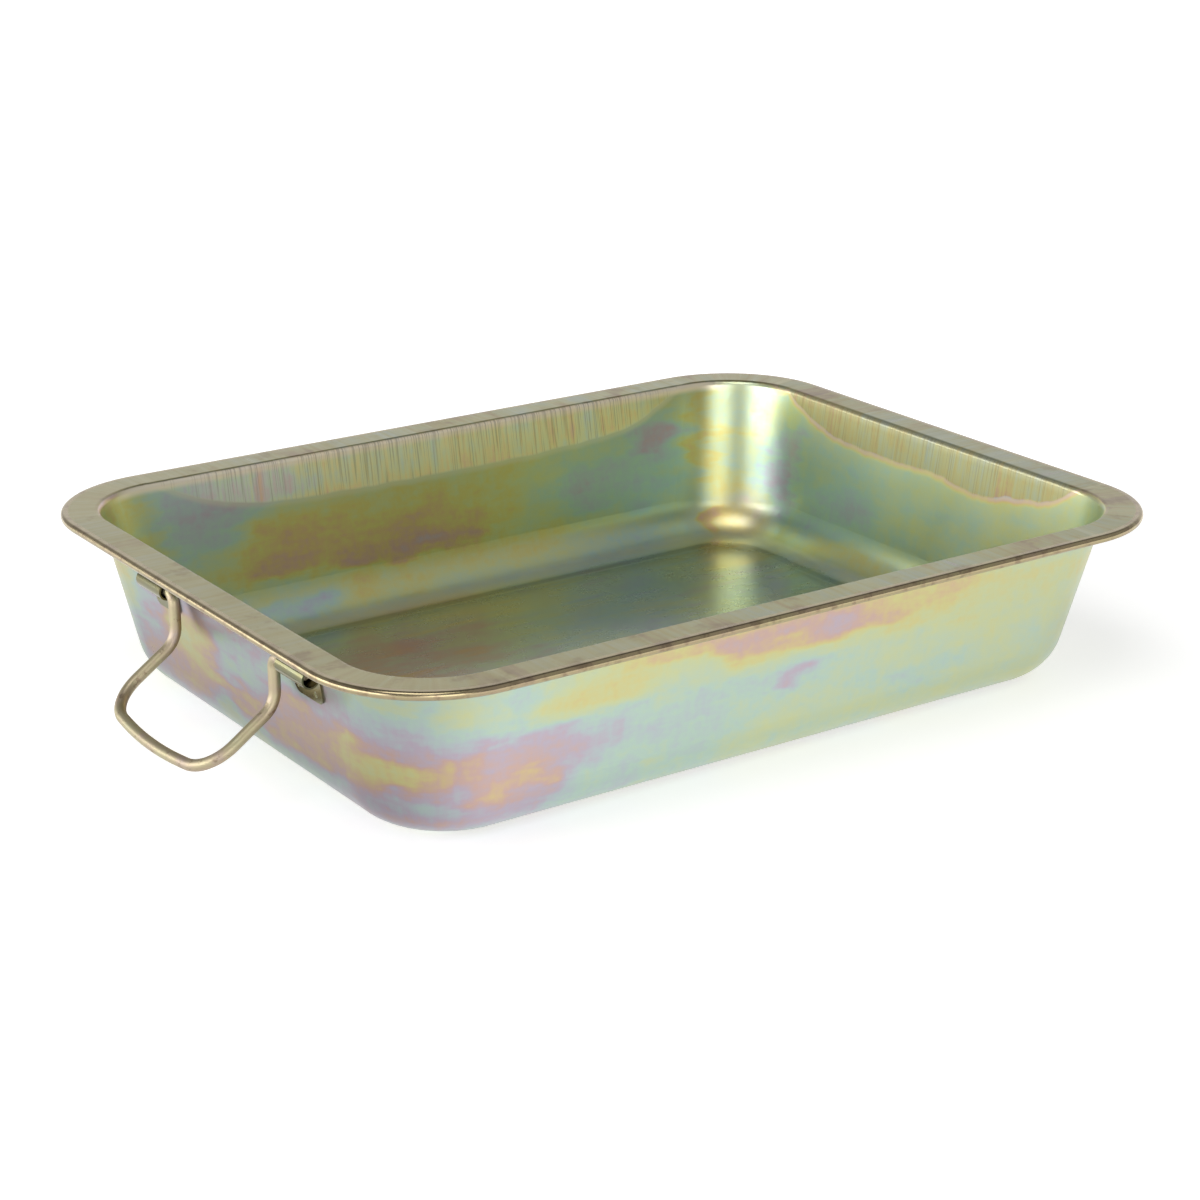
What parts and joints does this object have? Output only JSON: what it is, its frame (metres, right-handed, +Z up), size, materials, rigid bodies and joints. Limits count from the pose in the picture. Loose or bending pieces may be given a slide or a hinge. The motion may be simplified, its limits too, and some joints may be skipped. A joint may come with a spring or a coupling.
{
  "type": "metal drip tray with bail handles",
  "caption": "Deep rectangular pressed-steel tray with rounded corners, a flat flange with a rolled edge, and a folding wire bail handle at each end.",
  "frame": {"origin": "centre of the tray's footprint, on the surface that the base stands on", "axes": "+X along the tray's length, from the left bail to the right bail; +Y across its width; +Z up, out of its open mouth"},
  "size_m": [0.501, 0.3514, 0.086],
  "materials": {
    "pan_plating": "yellow-passivated zinc plating with a faint iridescence, satin, over drawn sheet steel",
    "wire_plating": "yellow-passivated zinc plating on drawn round wire, satin with small nicks",
    "bracket_plating": "yellow-passivated zinc plating on folded strip, glossier than the pan"
  },
  "bodies": {
    "pan": {"pan": "pan_plating", "left_front_bracket": "bracket_plating", "left_rear_bracket": "bracket_plating", "right_front_bracket": "bracket_plating", "right_rear_bracket": "bracket_plating"},
    "left_bail": {"left_bail": "wire_plating"},
    "right_bail": {"right_bail": "wire_plating"}
  },
  "joints": [
    {"name": "left_bail_hinge", "type": "hinge", "parent": "pan", "child": "left_bail", "pos_m": [-0.20993, -0.0065, 0.0697], "axis": [0, 1, 0], "range_deg": [-11, 115]},
    {"name": "right_bail_hinge", "type": "hinge", "parent": "pan", "child": "right_bail", "pos_m": [0.20993, 0.0065, 0.0697], "axis": [0, -1, 0], "range_deg": [-11, 115]}
  ]
}
